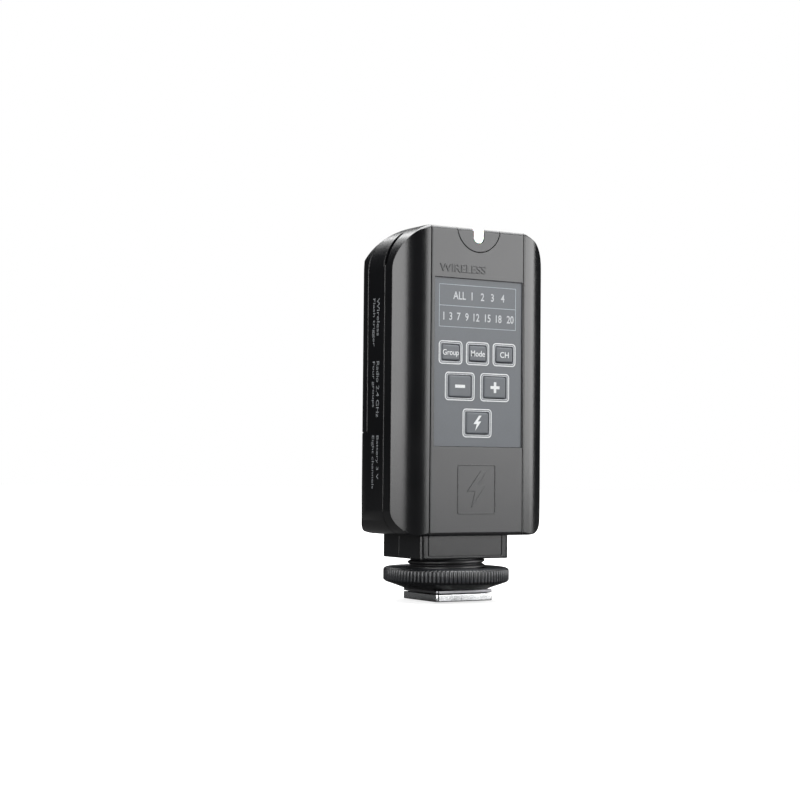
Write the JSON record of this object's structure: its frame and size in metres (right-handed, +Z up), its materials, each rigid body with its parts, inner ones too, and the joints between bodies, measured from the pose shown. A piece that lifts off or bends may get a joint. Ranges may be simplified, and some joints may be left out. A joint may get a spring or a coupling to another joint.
{
  "type": "wireless flash trigger",
  "caption": "Radio transmitter for studio flash, a slim keypad body that tilts back on a hot-shoe foot with a knurled screw-down locking ring.",
  "frame": {"origin": "on the locking ring's axis, at the underside of the shoe foot", "axes": "+Z up the body from the shoe foot, -Y out of the keypad, X along the tilt hinge; the body tilts back towards +Y"},
  "size_m": [0.0498, 0.0356, 0.1043],
  "materials": {
    "satin_plastic": "satin moulded ABS, charcoal black",
    "panel_plastic": "satin front strip, charcoal black",
    "label_film": "printed polyester film with a fine texture",
    "key_film": "printed key caps with a fine texture",
    "ring_plastic": "glass-filled nylon, dark satin",
    "rubber": "matt silicone",
    "clear_plastic": "frosted clear acrylic",
    "lamp_strip": "white lamp strip",
    "circuit_board": "green solder mask on glass-fibre board",
    "black_component": "black moulded component",
    "tinned_steel": "tinned steel",
    "steel": "bright brushed stainless steel",
    "dark_steel": "black oxide steel screws",
    "brass": "plated brass",
    "lead_sleeve": "red PVC sleeve"
  },
  "bodies": {
    "foot": {"shoe_foot": "steel", "foot_spacer": "satin_plastic", "threaded_neck": "ring_plastic", "foot_block_front": "satin_plastic", "foot_block_rear": "satin_plastic", "friction_washer_left": "black_component", "friction_washer_right": "black_component", "contact_insulator": "black_component", "contact_spring": "steel", "contact_cap": "brass", "shoe_lead": "lead_sleeve", "block_screw_left": "dark_steel", "block_screw_right": "dark_steel", "neck_screw_left": "dark_steel", "neck_screw_right": "dark_steel", "foot_screw_1": "dark_steel", "foot_screw_2": "dark_steel", "foot_screw_3": "dark_steel", "foot_screw_4": "dark_steel"},
    "transmitter": {"front_shell": "satin_plastic", "rear_shell": "satin_plastic", "front_panel": "panel_plastic", "keypad_overlay": "label_film", "key_mat": "rubber", "light_bezel": "panel_plastic", "light_pipe": "clear_plastic", "status_led": "clear_plastic", "display_diffuser": "clear_plastic", "led_row_upper": "lamp_strip", "led_row_lower": "lamp_strip", "main_circuit_board": "circuit_board", "radio_module": "tinned_steel", "microcontroller": "black_component", "antenna_strip": "brass", "battery_holder": "satin_plastic", "coin_cell": "steel", "battery_contact_negative": "tinned_steel", "battery_contact_positive": "tinned_steel", "sync_socket": "black_component", "power_switch_body": "tinned_steel", "pivot_pin_left": "steel", "pivot_pin_right": "steel", "board_lead": "lead_sleeve", "shell_screw_low_left": "dark_steel", "shell_screw_low_right": "dark_steel", "shell_screw_high_left": "dark_steel", "shell_screw_high_right": "dark_steel", "board_screw_low": "dark_steel", "board_screw_high": "dark_steel"},
    "battery_cover": {"battery_door": "satin_plastic"},
    "power_knob": {"power_switch_knob": "black_component"},
    "clamp": {"clamp_plate": "steel"},
    "ring": {"lock_ring": "ring_plastic"},
    "contact": {"contact_pin": "brass"},
    "key_group_cap": {"key_group": "key_film"},
    "key_mode_cap": {"key_mode": "key_film"},
    "key_channel_cap": {"key_channel": "key_film"},
    "key_minus_cap": {"key_minus": "key_film"},
    "key_plus_cap": {"key_plus": "key_film"},
    "key_test_cap": {"key_test": "key_film"}
  },
  "joints": [
    {"name": "body_tilt", "type": "hinge", "parent": "foot", "child": "transmitter", "pos_m": [0, 0.0004, 0.0229], "axis": [-1, 0, 0], "range_deg": [0, 90]},
    {"name": "battery_cover_slide", "type": "slide", "parent": "transmitter", "child": "battery_cover", "axis": [0, 0, 1], "range_m": [0, 0.06]},
    {"name": "power_switch_slide", "type": "slide", "parent": "transmitter", "child": "power_knob", "axis": [0, 0, 1], "range_m": [0, 0.003]},
    {"name": "ring_turn", "type": "hinge", "parent": "clamp", "child": "ring", "pos_m": [0, 0, 0.006], "axis": [0, 0, 1], "range_deg": [0, 540]},
    {"name": "clamp_rise", "type": "slide", "parent": "foot", "child": "clamp", "axis": [0, 0, 1], "range_m": [0, 0.00225]},
    {"name": "contact_press", "type": "slide", "parent": "foot", "child": "contact", "axis": [0, 0, 1], "range_m": [0, 0.00045], "stiffness_N_per_m": 1500},
    {"name": "key_group_press", "type": "slide", "parent": "transmitter", "child": "key_group_cap", "axis": [0, 1, 0], "range_m": [0, 0.00035], "stiffness_N_per_m": 2000},
    {"name": "key_mode_press", "type": "slide", "parent": "transmitter", "child": "key_mode_cap", "axis": [0, 1, 0], "range_m": [0, 0.00035], "stiffness_N_per_m": 2000},
    {"name": "key_channel_press", "type": "slide", "parent": "transmitter", "child": "key_channel_cap", "axis": [0, 1, 0], "range_m": [0, 0.00035], "stiffness_N_per_m": 2000},
    {"name": "key_minus_press", "type": "slide", "parent": "transmitter", "child": "key_minus_cap", "axis": [0, 1, 0], "range_m": [0, 0.00035], "stiffness_N_per_m": 2000},
    {"name": "key_plus_press", "type": "slide", "parent": "transmitter", "child": "key_plus_cap", "axis": [0, 1, 0], "range_m": [0, 0.00035], "stiffness_N_per_m": 2000},
    {"name": "key_test_press", "type": "slide", "parent": "transmitter", "child": "key_test_cap", "axis": [0, 1, 0], "range_m": [0, 0.00035], "stiffness_N_per_m": 2000}
  ],
  "couplings": [
    {"joint": "ring_turn", "follows": "clamp_rise", "rad_per_m": 4188.8}
  ]
}
